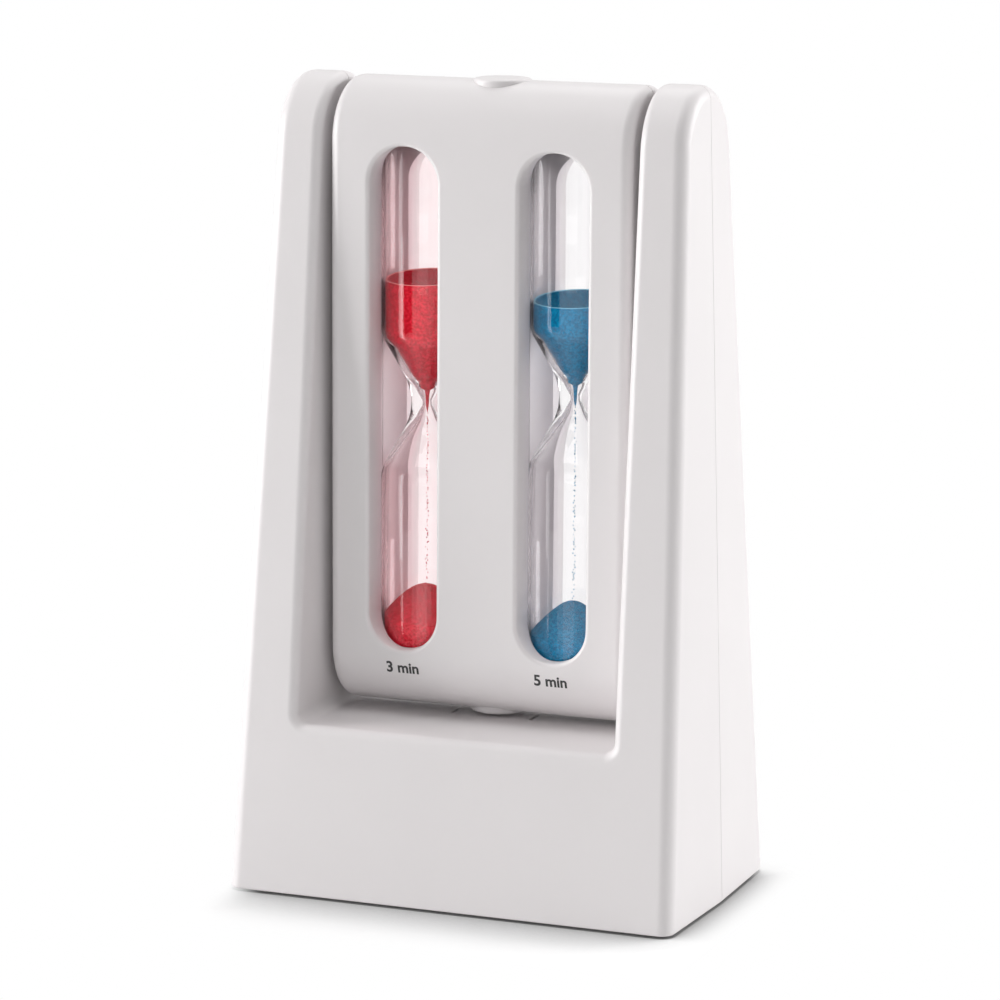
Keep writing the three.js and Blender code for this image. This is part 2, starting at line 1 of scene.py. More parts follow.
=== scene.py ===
import bmesh
import bpy
import json
import math
import random
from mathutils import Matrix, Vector


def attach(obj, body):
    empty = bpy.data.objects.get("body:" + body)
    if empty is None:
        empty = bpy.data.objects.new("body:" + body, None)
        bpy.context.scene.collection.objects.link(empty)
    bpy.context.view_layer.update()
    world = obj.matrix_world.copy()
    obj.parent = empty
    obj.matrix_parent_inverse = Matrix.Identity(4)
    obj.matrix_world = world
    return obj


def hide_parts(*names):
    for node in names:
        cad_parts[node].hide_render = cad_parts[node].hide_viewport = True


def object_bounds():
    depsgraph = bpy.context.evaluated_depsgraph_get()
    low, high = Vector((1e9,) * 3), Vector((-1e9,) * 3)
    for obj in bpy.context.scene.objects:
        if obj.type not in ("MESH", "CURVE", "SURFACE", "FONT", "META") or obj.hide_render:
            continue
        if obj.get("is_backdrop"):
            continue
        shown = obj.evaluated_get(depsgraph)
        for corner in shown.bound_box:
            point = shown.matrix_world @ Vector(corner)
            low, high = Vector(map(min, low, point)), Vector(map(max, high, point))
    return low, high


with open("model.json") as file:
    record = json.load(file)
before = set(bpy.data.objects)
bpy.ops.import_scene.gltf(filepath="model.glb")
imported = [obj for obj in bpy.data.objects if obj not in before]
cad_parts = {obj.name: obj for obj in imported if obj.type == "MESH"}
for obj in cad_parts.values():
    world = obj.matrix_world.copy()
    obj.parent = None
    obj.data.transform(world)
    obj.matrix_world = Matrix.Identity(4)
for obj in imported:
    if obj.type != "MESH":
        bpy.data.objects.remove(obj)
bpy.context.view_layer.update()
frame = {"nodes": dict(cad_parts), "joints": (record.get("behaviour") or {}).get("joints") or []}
mm = 0.001  # sizes below are in millimetres, angles in degrees
pivot = frame["joints"][0]["pos_m"][2] / mm  # height of the axle
softAngle = 32  # sharper edges than this stay crisp
bpy.ops.object.select_all(action="DESELECT")
print("frame loaded:", len(frame["nodes"]), "nodes, axle at", round(pivot, 2), "mm")


# bench tools

def only(piece):
    if bpy.context.mode != "OBJECT":
        bpy.ops.object.mode_set(mode="OBJECT")
    bpy.ops.object.select_all(action="DESELECT")
    if piece:
        piece.select_set(True)
        bpy.context.view_layer.objects.active = piece


def settle(name):
    bpy.ops.object.transform_apply(location=True, rotation=True, scale=True)
    bpy.context.object.name = name
    return bpy.context.object


def block(name, low, high):
    only(None)
    size = [(b - a) * mm for a, b in zip(low, high)]
    middle = [(b + a) / 2 * mm for a, b in zip(low, high)]
    bpy.ops.mesh.primitive_cube_add(size=1, location=middle, scale=size)
    return settle(name)


def rod(name, radius, start, end, sides=72):
    only(None)
    run = Vector(end) - Vector(start)
    middle = (Vector(end) + Vector(start)) / 2 * mm
    turn = run.to_track_quat("Z", "Y").to_euler()
    bpy.ops.mesh.primitive_cylinder_add(
        vertices=sides, radius=radius * mm, depth=run.length * mm, location=middle, rotation=turn)
    return settle(name)


def openMesh(piece, mode):
    only(piece)
    bpy.ops.object.mode_set(mode="EDIT")
    bpy.ops.mesh.select_mode(type=mode)
    bpy.ops.mesh.select_all(action="DESELECT")
    return bmesh.from_edit_mesh(piece.data)


def pickCorners(piece, test):
    body = openMesh(piece, "VERT")
    for corner in body.verts:
        corner.select_set(test(corner.co / mm))
    body.select_flush_mode()
    bmesh.update_edit_mesh(piece.data)


def pickEdges(piece, oneSide, otherSide):  # edges between two kinds of face
    body = openMesh(piece, "EDGE")
    for edge in body.edges:
        if len(edge.link_faces) == 2:
            a, b = [(face.normal, face.calc_center_median() / mm) for face in edge.link_faces]
            edge.select_set((oneSide(*a) and otherSide(*b)) or (oneSide(*b) and otherSide(*a)))
    bmesh.update_edit_mesh(piece.data)


def widen(x, y=1, z=1):
    bpy.ops.transform.resize(value=(x, y, z), center_override=(0, 0, 0))


def shift(x, y, z):
    bpy.ops.transform.translate(value=(x * mm, y * mm, z * mm))


def rounded(radius, steps):
    bpy.ops.mesh.bevel(offset=radius * mm, segments=steps, profile=0.5, affect="EDGES")


def applied(piece, kind, **settings):
    only(piece)
    modifier = piece.modifiers.new(kind.lower(), kind)
    for key, value in settings.items():
        setattr(modifier, key, value)
    bpy.ops.object.modifier_apply(modifier=modifier.name)


def cutAway(piece, *cutters):
    for cutter in cutters:
        applied(piece, "BOOLEAN", object=cutter, operation="DIFFERENCE", solver="EXACT")
        bpy.data.objects.remove(cutter, do_unlink=True)


def tidied(piece, merge=0.002):
    openMesh(piece, "VERT")
    bpy.ops.mesh.select_all(action="SELECT")
    bpy.ops.mesh.remove_doubles(threshold=merge * mm)
    bpy.ops.mesh.normals_make_consistent(inside=False)
    only(piece)


def smoothed(piece, angle=softAngle):
    only(piece)
    bpy.ops.object.shade_smooth_by_angle(angle=math.radians(angle))
    applied(piece, "WEIGHTED_NORMAL", keep_sharp=True)


def twin(piece, name):  # copy with its own mesh, turned front to rear
    only(piece)
    bpy.ops.object.duplicate()
    copy = bpy.context.object
    copy.name = name
    copy.scale = (1, -1, 1)
    bpy.ops.object.transform_apply(location=True, rotation=True, scale=True)
    tidied(copy)
    return copy


# outline of (radius, height) points, turned about an upright line
def turnedPiece(name, outline, x, z, steps=72):
    only(None)
    bpy.ops.mesh.primitive_plane_add(size=mm, location=(0, 0, 0))
    piece = settle(name)
    openMesh(piece, "VERT")
    bpy.ops.mesh.select_all(action="SELECT")
    bpy.ops.mesh.merge(type="CENTER")
    spot = Vector((0, 0, 0))
    for radius, height in outline:
        place = Vector((x + radius, 0, z + height))
        step = (place - spot) * mm
        if (radius, height) == tuple(outline[0]):
            bpy.ops.transform.translate(value=step)
        else:
            bpy.ops.mesh.extrude_region_move(TRANSFORM_OT_translate={"value": step})
        spot = place
    bpy.ops.mesh.select_all(action="SELECT")
    bpy.ops.mesh.spin(steps=steps, angle=math.tau, center=(x * mm, 0, 0), axis=(0, 0, 1))
    tidied(piece)
    return piece


def aimed(place, aim):
    return (Vector(aim) - Vector(place)).to_track_quat("-Z", "Y").to_euler()


def dress(piece, material, slot, body, *stoodFor):
    piece.data.materials.clear()
    piece.data.materials.append(material)
    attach(piece, body)
    if stoodFor:
        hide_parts(*stoodFor)


# stand

standSizes = {
    "bottom": 0.4, "top": 150.35, "footHalf": 43.65, "halfDepth": 26.5,
    "faceLean": 5.73, "sideTaper": 1.55, "draft": 1.7, "floorDraft": 1,
    "floor": 32.35, "recessHalf": 30.45, "recessCorner": 2, "seam": 0.05, "wall": 2.4,
    "edge": 2.6, "recessEdge": 1.7, "seamEdge": 0.1, "footEdge": 0.5,
    "archSteps": 28, "crest": 0.3, "edgeSteps": 9, "footSteps": 3, "seamSteps": 2,
    "hollowLow": -1, "hollowHigh": 12, "plateLow": 1.6, "plateHigh": 4.2, "plateGroove": 1,
    "slotX": 7.8, "slotWidth": 0.7, "slotLength": 4.2, "slotBelow": 9, "slotAbove": 3,
    "pinHole": 3.15, "pinDepth": 5.3,
    "screwHole": 2.9, "screwSeat": 4.7, "screwHoleEnd": 40, "screws": [(37.21, 16), (35.61, 122.35)],
    "reach": 60, "past": 2, "above": 20,  # how far the cutters run on
    "headZone": 30, "flankZone": 4, "recessZone": 3,  # where the edges are looked for
}


def standHalf(name, sizes):
    lean, taper, draft, floorDraft = [
        math.tan(math.radians(sizes[key])) for key in ("faceLean", "sideTaper", "draft", "floorDraft")]
    bottom, top, foot, deep, seam, wall = [
        sizes[key] for key in ("bottom", "top", "footHalf", "halfDepth", "seam", "wall")]
    rise = top - bottom
    headDeep = deep - lean * rise
    head = foot - taper * rise
    half = block(name, (-foot, -deep, bottom), (foot, -seam, top))
    pickCorners(half, lambda p: p.z > top - 1)
    widen(head / foot)
    pickCorners(half, lambda p: p.z > top - 1 and p.y < -1)
    shift(0, lean * rise, 0)
    pickCorners(half, lambda p: p.z < bottom + 1 and p.y > -1)
    widen((foot + draft * (deep - seam)) / foot)
    pickCorners(half, lambda p: p.z > top - 1 and p.y > -1)
    widen((head + draft * (headDeep - seam)) / head)

    # round head of the posts
    pickEdges(half, lambda n, p: n.z > 0.9, lambda n, p: n.y < -0.9)
    rounded(headDeep - seam - sizes["crest"], sizes["archSteps"])

    # recess between the posts, open to the front
    reach, past, side, floor = [sizes[key] for key in ("reach", "past", "recessHalf", "floor")]
    cutter = block("recess", (-side, -reach, floor), (side, past, top + sizes["above"]))
    pickCorners(cutter, lambda p: p.y < -1)
    widen((side + draft * reach) / side)
    pickCorners(cutter, lambda p: p.y > 1)
    widen((side - draft * past) / side)
    pickCorners(cutter, lambda p: p.y < -1 and p.z < floor + 1)
    shift(0, 0, -floorDraft * reach)
    pickEdges(cutter, lambda n, p: n.z < -0.9, lambda n, p: abs(n.x) > 0.9)
    rounded(sizes["recessCorner"], sizes["edgeSteps"])
    cutAway(half, cutter)

    # edges, from the widest rounding to the finest
    def face(n, p):
        return abs(n.x) < 0.03 and n.y < 0.5 and (n.y < -0.9 or p.z > top - sizes["headZone"])

    def flank(n, p):
        return abs(n.x) > 0.9 and abs(p.x) > side + sizes["flankZone"]

    def recess(n, p):
        inner = n.y < 0.5 and n.z > -0.5 and abs(p.x) < side + sizes["recessZone"]
        return inner and not face(n, p) and not flank(n, p)

    pickEdges(half, flank, face)
    rounded(sizes["edge"], sizes["edgeSteps"])
    pickEdges(half, recess, face)
    rounded(sizes["recessEdge"], sizes["edgeSteps"])
    pickEdges(half, lambda n, p: n.z < -0.95, lambda n, p: n.z > -0.9 and n.y < 0.5)
    rounded(sizes["footEdge"], sizes["footSteps"])
    pickEdges(half, lambda n, p: n.y > 0.99, lambda n, p: n.y < 0.9 and n.z > -0.9)
    rounded(sizes["seamEdge"], sizes["seamSteps"])

    # hollow underside with the groove for the base plate, slots of the tongue, holes of the axle
    hollows = []
    for low, high, inset in ((sizes["hollowLow"], sizes["hollowHigh"], wall),
                             (sizes["plateLow"], sizes["plateHigh"], wall - sizes["plateGroove"])):
        hollow = block("hollow", (inset - foot, inset - deep, low), (foot - inset, past, high))
        pickCorners(hollow, lambda p: p.y > 1)
        widen((foot - inset + draft * (deep - inset)) / (foot - inset))
        hollows.append(hollow)
    slotX, slotHalf = sizes["slotX"], sizes["slotWidth"] / 2
    for x in (-slotX, slotX):
        low = (x - slotHalf, -sizes["slotLength"], floor - sizes["slotBelow"])
        hollows.append(block("slot", low, (x + slotHalf, past, floor + sizes["slotAbove"])))
    for x in (-1, 1):
        ends = [(x * (side - past), 0, pivot), (x * (side + sizes["pinDepth"]), 0, pivot)]
        hollows.append(rod("axleHole", sizes["pinHole"], *ends, sides=48))
    cutAway(half, *hollows)
    tidied(half)
    return half


standFront = standHalf("stand_front", standSizes)
standRear = twin(standFront, "stand_rear")
for x, z in standSizes["screws"]:
    for end in (-1, 1):
        start, stop = [(end * x, standSizes[key], z) for key in ("screwSeat", "screwHoleEnd")]
        cutAway(standRear, rod("screwHole", standSizes["screwHole"], start, stop, sides=48))
smoothed(standFront)
smoothed(standRear)
print("stand:", len(standFront.data.polygons), "and", len(standRear.data.polygons), "faces")

# flip case

caseSizes = {
    "half": 29.25, "end": 58.4, "thickHalf": 11.95, "seam": 0.15,
    "edge": 2, "endSteps": 32, "crest": 0.3, "edgeSteps": 8, "seamEdge": 0.15, "seamSteps": 2,
    "vialX": 14.65, "pocket": 9, "pocketEnd": 49.3,
    "window": 6.7, "windowEnd": 46.6, "windowRim": 0.8, "windowSteps": 24, "rimSteps": 6,
    "bounceDepth": 5.5, "bounceHalf": 9.1, "bounceEnd": 49.35,
    "studHole": 5.4, "studDepth": 3.6, "pinHole": 3.15, "pinDepth": 3.9,
    "past": 5, "proud": 0.03, "flared": 0.15, "ahead": 3, "slack": 0.001,  # how far the cutters run on
}


# what is taken out for a window: round ends and a rim that flares to the face
def windowPlug(x, sizes):
    wide, long, rim, face, slack = [
        sizes[key] for key in ("window", "windowEnd", "windowRim", "thickHalf", "slack")]
    plug = block("window", (x - wide, rim - face, pivot - long), (x + wide, sizes["past"], pivot + long))
    pickEdges(plug, lambda n, p: abs(n.z) > 0.9, lambda n, p: abs(n.x) > 0.9)
    rounded(wide - 2 * slack, sizes["windowSteps"])
    at, size = rim - face, wide
    stops = [math.radians(90 * i / sizes["rimSteps"]) for i in range(1, sizes["rimSteps"] + 1)]
    flare = [(rim * (1 - math.sin(a)) - face, wide + rim * (1 - math.cos(a))) for a in stops]
    flare += [(-face - sizes[key], wide + rim + sizes["flared"]) for key in ("proud", "ahead")]
    for y, radius in flare:
        pickCorners(plug, lambda p: p.y < at + slack)
        bpy.ops.mesh.extrude_region_move(TRANSFORM_OT_translate={"value": (0, (y - at) * mm, 0)})
        for end in (-1, 1):
            pickCorners(plug, lambda p: p.y < y + slack and (p.z - pivot) * end > 0)
            middle = Vector((x, y, pivot + end * (long - wide))) * mm
            bpy.ops.transform.resize(value=(radius / size, 1, radius / size), center_override=middle)
        at, size = y, radius
    tidied(plug)
    return plug


def caseHalf(name, sizes):
    half, end, thick, seam = [sizes[key] for key in ("half", "end", "thickHalf", "seam")]
    shell = block(name, (-half, -thick, pivot - end), (half, -seam, pivot + end))
    pickEdges(shell, lambda n, p: abs(n.z) > 0.9, lambda n, p: n.y < -0.9)
    rounded(thick - seam - sizes["crest"], sizes["endSteps"])
    pickEdges(shell, lambda n, p: abs(p.x) > half - 0.01, lambda n, p: abs(n.x) < 0.1 and n.y < 0.5)
    rounded(sizes["edge"], sizes["edgeSteps"])
    pickEdges(shell, lambda n, p: n.y > 0.99, lambda n, p: n.y < 0.9)
    rounded(sizes["seamEdge"], sizes["seamSteps"])

    # pockets of the vials with their windows, seats of the studs and holes of the axle
    for x in (-1, 1):
        vialX = x * sizes["vialX"]
        ends = [(vialX, 0, pivot - sizes["pocketEnd"]), (vialX, 0, pivot + sizes["pocketEnd"])]
        pocket = rod("pocket", sizes["pocket"], *ends, sides=96)
        window = windowPlug(vialX, sizes)
        ends = [(0, 0, pivot + x * (end - sizes["studDepth"])), (0, 0, pivot + x * (end + sizes["past"]))]
        cutAway(shell, pocket, window, rod("studSeat", sizes["studHole"], *ends))
        ends = [(x * (half - sizes["pinDepth"]), 0, pivot), (x * (half + sizes["past"]), 0, pivot)]
        cutAway(shell, rod("axleHole", sizes["pinHole"], *ends, sides=48))
    tidied(shell)
    return shell


caseFront = caseHalf("case_front", caseSizes)
caseRear = twin(caseFront, "case_rear")
smoothed(caseFront)
smoothed(caseRear)
print("case:", len(caseFront.data.polygons), "and", len(caseRear.data.polygons), "faces")

# glass vials and their sand

vialSizes = {
    "radius": 8.6, "bore": 7.8, "end": 49, "endRound": 1.6, "endSteps": 6, "footRound": 0.64,
    "roof": [(0, 1.6), (0.15, 1.25), (0.5, 1.1)],  # in from the bore, down from the end
    "sides": 96, "bendSteps": 5,
    # half outlines of the waist as (radius, height), from the middle of the neck up to the tube
    "outside": [(3, 0), (3.05, 1), (3.18, 2), (3.4, 2.85), (3.62, 3.5), (4.21, 4.9), (5.34, 6.9),
                (6.46, 8.9), (7.36, 10.5), (8.02, 11.75), (8.42, 12.8), (8.6, 14.2)],
    "inside": [(0.6, 0), (0.62, 0.5), (0.8, 1), (1.12, 1.9), (1.36, 2.7), (1.75, 3.5), (2.73, 5),
               (4.05, 7), (5.4, 9), (6.5, 10.6), (7.23, 11.7), (7.64, 12.6), (7.8, 13.8)],
}
timers = [
    {"name": "3min", "label": "3 min", "middle": -caseSizes["vialX"], "sand": "red",
     "neck": -1.8, "fill": 23.6, "heapEdge": 5.3, "heapRise": 5.7, "crown": 7, "seed": 3},
    {"name": "5min", "label": "5 min", "middle": caseSizes["vialX"], "sand": "blue",
     "neck": 1, "fill": 18.3, "heapEdge": 4, "heapRise": 6.2, "crown": 4, "seed": 5},
]
sandSizes = {
    "plug": 2.3, "heapFoot": 0.1, "surfaceSteps": 24, "sides": 200,
    "crater": 2.8, "craterCurve": 1.3, "ripple": 0.07,  # free surface
    "lean": (0, 0.11), "heapLean": (-0.1, 0.1),  # its slope along x and y
    "leanFrom": 0.1, "heapLeanFrom": 2,
    # line is the width of the painted highlight along the rim of the upper sand
    "gap": 0.03, "still": 0.25, "line": 0.14,  # along the glass
    "mouth": 2.9,  # where the full sand ends above the neck
    "core": [(0.02, -1.6), (0.15, -1.2), (0.24, -0.6), (0.31, 0.4), (0.38, 1.4), (0.48, 2.4)],
    # stream of falling grains
    "grains": 76, "grain": 0.125, "grainRange": (0.75, 1.25), "drift": 0.2, "driftRange": (0.25, 0.75),
    "streamFrom": 0.9, "streamTo": 0.1, "uneven": 0.45, "clump": 0.012, "clumps": 40,
}


def eased(points, steps):  # smooth run through a row of (radius, height) points
    run = []
    ends = [points[0]] + points + [points[-1]]
    for before, start, stop, after in zip(ends, ends[1:], ends[2:], ends[3:]):
        before, start, stop, after = [Vector(p) for p in (before, start, stop, after)]
        for i in range(steps):
            t = i / steps
            bend = (stop - before) * t + (before * 2 - start * 5 + stop * 4 - after) * t * t
            run.append(tuple(start + (bend + (start * 3 - before - stop * 3 + after) * t ** 3) / 2))
    return run + [tuple(points[-1])]


def vialGlass(timer, sizes):
    radius, bore, end, soft = [sizes[key] for key in ("radius", "bore", "end", "endRound")]
    neck = timer["neck"]
    outside = eased(sizes["outside"], sizes["bendSteps"])
    inside = eased(sizes["inside"], sizes["bendSteps"])
    stops = [math.radians(90 * i / sizes["endSteps"]) for i in range(sizes["endSteps"] + 1)]
    outline = [(0, end)]
    outline += [(radius - soft + soft * math.sin(a), end - soft + soft * math.cos(a)) for a in stops]
    outline += [(r, neck + h) for r, h in reversed(outside)] + [(r, neck - h) for r, h in outside[1:]]
    outline += [(radius, soft - end), (radius - sizes["footRound"], -end), (bore, -end)]
    outline += [(r, neck - h) for r, h in reversed(inside)] + [(r, neck + h) for r, h in inside[1:]]
    outline += [(bore - inset, end - down) for inset, down in sizes["roof"]]
    outline.append((0, end - sizes["roof"][-1][1]))
    return turnedPiece("glass_" + timer["name"], outline, timer["middle"], pivot, sizes["sides"])


def loosened(piece, timer, sizes, lean, low, high):  # leaning, uneven free surface
    dice = random.Random(timer["seed"])
    wall, middle = vialSizes["bore"] - sizes["still"], timer["middle"]
    body = openMesh(piece, "VERT")
    for corner in body.verts:
        x, y, z = corner.co / mm
        rise = min(max((z - pivot - low) / (high - low), 0), 1)
        lift = (lean[0] * (x - middle) + lean[1] * y) * rise
        if math.hypot(x - middle, y) < wall and rise > 0:
            lift += dice.uniform(-1, 1) * sizes["ripple"]
        corner.co.z += lift * mm
    bmesh.update_edit_mesh(piece.data)
    only(piece)


def sandToRun(timer, sizes):
    neck, top = timer["neck"], timer["neck"] + timer["fill"]
    rim = vialSizes["bore"] - sizes["gap"]
    outline = [(0, neck + sizes["core"][0][1])] + [(r, neck + h) for r, h in sizes["core"]]
    for r, h in eased(vialSizes["inside"], vialSizes["bendSteps"]):
        if h > sizes["mouth"]:
            outline.append((r - sizes["gap"], neck + h))
    steps = sizes["surfaceSteps"]
    for i in range(steps + 1):
        r = rim * (1 - i / steps)
        outline.append((r, top - sizes["crater"] * (1 - (r / rim) ** sizes["craterCurve"])))
    piece = turnedPiece(timer["sand"] + "_sand_above", outline, timer["middle"], pivot, sizes["sides"])
    loosened(piece, timer, sizes, sizes["lean"], top - sizes["crater"] - sizes["leanFrom"], top)
    return piece


def sandHeap(timer, sizes):
    rim = vialSizes["bore"] - sizes["gap"]
    bottom = sizes["plug"] - vialSizes["end"]
    edge = bottom + timer["heapEdge"]
    foot = sizes["heapFoot"]
    outline = [(0, bottom), (rim - foot, bottom), (rim, bottom + foot)]
    full = math.hypot(rim, timer["crown"]) - timer["crown"]
    steps = sizes["surfaceSteps"]
    for i in range(steps + 1):
        r = rim * (1 - i / steps)
        blunt = math.hypot(r, timer["crown"]) - timer["crown"]
        outline.append((r, edge + timer["heapRise"] * (1 - blunt / full)))
    piece = turnedPiece(timer["sand"] + "_sand_below", outline, timer["middle"], pivot, sizes["sides"])
    loosened(piece, timer, sizes, sizes["heapLean"], edge - sizes["heapLeanFrom"], edge)
    return piece


def fallingSand(timer, sizes):  # thin stream of grains from the neck to the heap
    dice = random.Random(timer["seed"])
    top = timer["neck"] - sizes["streamFrom"]
    bottom = sizes["plug"] - vialSizes["end"] + timer["heapEdge"] + timer["heapRise"] - sizes["streamTo"]
    narrow, wider = sizes["driftRange"]
    only(None)
    for i in range(sizes["grains"]):
        fall = (i + dice.uniform(-sizes["uneven"], sizes["uneven"])) / sizes["grains"]
        fall = min(max(fall + sizes["clump"] * math.sin(sizes["clumps"] * fall), 0), 1)
        drift = sizes["drift"] * (narrow + wider * fall)
        height = pivot + top + (bottom - top) * fall
        place = Vector((timer["middle"] + dice.gauss(0, drift), dice.gauss(0, drift), height))
        size = sizes["grain"] * dice.uniform(*sizes["grainRange"])
        bpy.ops.mesh.primitive_ico_sphere_add(subdivisions=1, radius=size * mm, location=place * mm)
        if i == 0:
            stream = settle(timer["sand"] + "_stream")
            openMesh(stream, "VERT")
    only(stream)
    return stream


glassPieces, sandPieces = {}, {}
for timer in timers:
    glassPieces[timer["name"]] = vialGlass(timer, vialSizes)
    sandPieces[timer["sand"]] = [make(timer, sandSizes) for make in (sandToRun, sandHeap, fallingSand)]
for piece in list(glassPieces.values()) + [p for group in sandPieces.values() for p in group]:
    only(piece)
    bpy.ops.object.shade_smooth_by_angle(angle=math.radians(softAngle))
print("vials:", [len(p.data.polygons) for p in glassPieces.values()], "faces")

# studs, pins, screws, base plate and pads

smallSizes = {
    "softAngle": 40, "studSides": 96, "pinSides": 64, "screwSides": 48, "padSides": 64,
    "stud": [(0, 54.95), (4.9, 54.95), (5.36, 55.3), (5.36, 58.2), (5.31, 58.41), (5.17, 58.57),
             (4.93, 58.69), (4.5, 58.77), (3.6, 58.83), (2.4, 58.87), (1.2, 58.89), (0, 58.9)],
    "pin": [(0, 25.45), (2.6, 25.45), (3, 25.85), (3, 29.55), (4.4, 29.55), (4.6, 29.65), (4.6, 30.05),
            (4.4, 30.15), (3, 30.15), (3, 34.95), (2.85, 35.3), (2.5, 35.45), (0, 35.45)],
    "screwHead": [(1.3, 0), (2.4, 0), (2.5, 0.1), (2.5, 0.62), (2.42, 0.95), (2.2, 1.3), (1.75, 1.62),
                  (1.1, 1.76), (0, 1.8)],
    "screwAt": 5, "screwEnd": 13, "screwTip": 0.4, "underHead": 0.6,
    "thread": 1.3, "threadRoot": 1, "pitch": 1, "threadRise": 0.4, "threadFrom": 1.2, "threadSpare": 2,
    "driverLong": 1.5, "driverWide": 0.35, "driverDeep": 0.9, "driverTaper": 0.55,
    "plateEdge": 41.96, "plateMiddle": 42.69, "plateDeep": 24.64, "plateLow": 1.9, "plateHigh": 3.9,
    "plateCorner": 1.5, "cornerSteps": 5, "plateRim": 0.3, "rimSteps": 3,
    "groove": [(2.6, 0), (0.25, 0.35), (0.5, 0), (0.25, -0.35)], "grooveFind": 13,
    "pad": [(0, 0.12), (2.9, 0.12), (3.1, 0), (4.55, 0), (4.86, 0.12), (5, 0.42), (5, 1.9), (0, 1.9)],
    "padPlaces": [(-30.32, -12.65), (30.32, -12.65), (-30.32, 12.65), (30.32, 12.65)],
    "plug": [(0, -49), (7, -49), (7.35, -48.85), (7.5, -48.5), (7.5, -48.2), (7.25, -48.05),
             (7.25, -47.9), (7.5, -47.75), (7.5, -47.3), (7.42, -47.08), (7.2, -47), (0, -47)],
    "cushion": [(0, 49.3), (5.6, 49.3), (6.05, 49.42), (6.33, 49.7), (6.4, 50.1), (6.4, 50.9),
                (6.33, 51.3), (6.05, 51.58), (5.6, 51.7), (0, 51.7)],
}


# turns and moves a finished piece, which then sits at the origin again
def placed(piece, turn, place):
    only(piece)
    piece.rotation_euler = [math.radians(angle) for angle in turn]
    piece.location = Vector(place) * mm
    return settle(piece.name)


def screwAt(name, x, z, sizes):
    point, root, pitch = sizes["screwEnd"], sizes["threadRoot"], sizes["pitch"]
    outline = [(0, -point), (sizes["screwTip"], -point)]
    for i in range(int((point - sizes["threadSpare"]) / pitch)):
        low = sizes["threadFrom"] - point + i * pitch
        outline += [(root, low), (sizes["thread"], low + sizes["threadRise"] * pitch)]
    outline += [(root, -sizes["underHead"])] + sizes["screwHead"]
    screw = turnedPiece(name, outline, 0, 0, sizes["screwSides"])
    high = sizes["screwHead"][-1][1]
    long, wide, deep = sizes["driverLong"], sizes["driverWide"], high - sizes["driverDeep"]
    for x2, y2 in ((long, wide), (wide, long)):
        slot = block("slot", (-x2, -y2, deep), (x2, y2, high + 1))
        pickCorners(slot, lambda p: p.z < deep + 0.01)
        widen(*((sizes["driverTaper"], 1) if x2 > y2 else (1, sizes["driverTaper"])))
        cutAway(screw, slot)
    return placed(screw, (-90, 0, 0), (x, sizes["screwAt"], z))


def basePlate(sizes):
    wide, middle, deep = sizes["plateEdge"], sizes["plateMiddle"], sizes["plateDeep"]
    plate = block("plate", (-wide, -deep, sizes["plateLow"]), (wide, deep, sizes["plateHigh"]))
    openMesh(plate, "VERT")
    bpy.ops.mesh.select_all(action="SELECT")
    bpy.ops.mesh.bisect(plane_co=(0, 0, 0), plane_no=(0, 1, 0))
    pickCorners(plate, lambda p: abs(p.y) < 0.01)
    widen(middle / wide)
    pickEdges(plate, lambda n, p: abs(n.x) > 0.9, lambda n, p: abs(n.y) > 0.9)
    rounded(sizes["plateCorner"], sizes["cornerSteps"])
    pickEdges(plate, lambda n, p: abs(n.z) > 0.9, lambda n, p: abs(n.z) < 0.1)
    rounded(sizes["plateRim"], sizes["rimSteps"])
    # fine groove round the underside
    for inset, lift in sizes["groove"]:
        body = openMesh(plate, "FACE")
        for face in body.faces:
            if face.normal.z < -0.9 and face.calc_center_median().length < sizes["grooveFind"] * mm:
                face.select_set(True)
        bmesh.update_edit_mesh(plate.data)
        bpy.ops.mesh.inset(thickness=inset * mm, depth=0)
        if lift:
            shift(0, 0, lift)
    tidied(plate)
    return plate


studs = []
for name, side in (("stud_upper", 1), ("stud_lower", -1)):
    outline = [(r, side * h) for r, h in smallSizes["stud"]]
    studs.append(turnedPiece(name, outline, 0, pivot, smallSizes["studSides"]))
pins = []
for name, side in (("pin_left", -1), ("pin_right", 1)):
    pin = turnedPiece(name, smallSizes["pin"], 0, 0, smallSizes["pinSides"])
    pins.append(placed(pin, (0, 90 * side, 0), (0, 0, pivot)))
screws = []
for i, (x, z) in enumerate([(side * x, z) for x, z in standSizes["screws"] for side in (-1, 1)]):
    screws.append(screwAt("screw_" + str(i + 1), x, z, smallSizes))
pads = []
for i, (x, y) in enumerate(smallSizes["padPlaces"]):
    pad = turnedPiece("pad_" + str(i + 1), smallSizes["pad"], 0, 0, smallSizes["padSides"])
    pads.append(placed(pad, (0, 0, 0), (x, y, 0)))
plate = basePlate(smallSizes)
plugs, cushions = {}, {}
for timer in timers:
    name, x = timer["name"], timer["middle"]
    plugs[name] = turnedPiece("plug_" + name, smallSizes["plug"], x, pivot)
    for end, turn in (("upper", 1), ("lower", -1)):
        outline = [(r, turn * h) for r, h in smallSizes["cushion"]]
        cushions[name + "_" + end] = turnedPiece("cushion_" + name + "_" + end, outline, x, pivot)
smallPieces = studs + pins + screws + pads + [plate] + list(plugs.values()) + list(cushions.values())
for piece in smallPieces:
    smoothed(piece, smallSizes["softAngle"])
print("small pieces:", len(smallPieces))

# printed minutes under each window, and upside down on the other face for after the flip

labelSizes = {"height": 2.9, "middle": -49.95, "halfWidth": 10, "ink": 0.03, "weight": 0.085,
              "reach": 6, "sides": 256, "merge": 0.0005}


